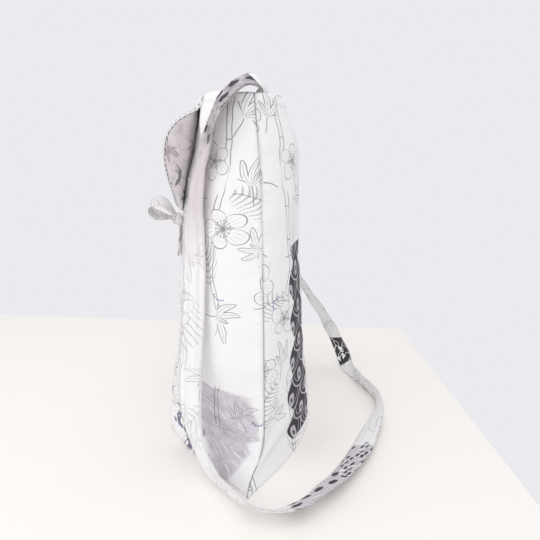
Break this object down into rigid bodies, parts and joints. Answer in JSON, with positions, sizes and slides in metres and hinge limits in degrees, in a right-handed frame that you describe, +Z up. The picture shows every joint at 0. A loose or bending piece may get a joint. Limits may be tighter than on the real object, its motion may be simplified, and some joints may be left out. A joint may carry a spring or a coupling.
{
  "type": "flap shoulder bag",
  "caption": "Tall soft cotton shoulder bag with pointed base corners, a lined front flap tied by a bow and a long flat shoulder strap; holds everyday things.",
  "frame": {"origin": "the middle of the base, on the surface that the bag stands on", "axes": "+Z up from the base to the mouth; -Y is the front, with the flap and its bow; +X and -X are the side seams, and the strap's loop lies on the floor round the +X end and the back"},
  "size_m": [0.3464, 0.3166, 0.4407],
  "materials": {
    "printed_cotton": "plain-weave cotton, white ground with a grey line print",
    "lining_cotton": "plain-weave cotton, grey-mauve",
    "piping_cotton": "bias-cut cotton cord edge, white with dark stitches",
    "strap_cotton": "folded and stitched cotton band, white, grey and charcoal print"
  },
  "bodies": {
    "root": {"front_panel": "printed_cotton", "back_panel": "printed_cotton", "front_lining": "lining_cotton", "back_lining": "lining_cotton", "flap_outer": "printed_cotton", "flap_lining": "lining_cotton", "flap_piping": "piping_cotton", "shoulder_strap": "strap_cotton", "bow_knot": "printed_cotton", "bow_loop_near": "printed_cotton", "bow_loop_far": "printed_cotton", "bow_tail_near": "printed_cotton", "bow_tail_far": "printed_cotton"}
  },
  "joints": []
}
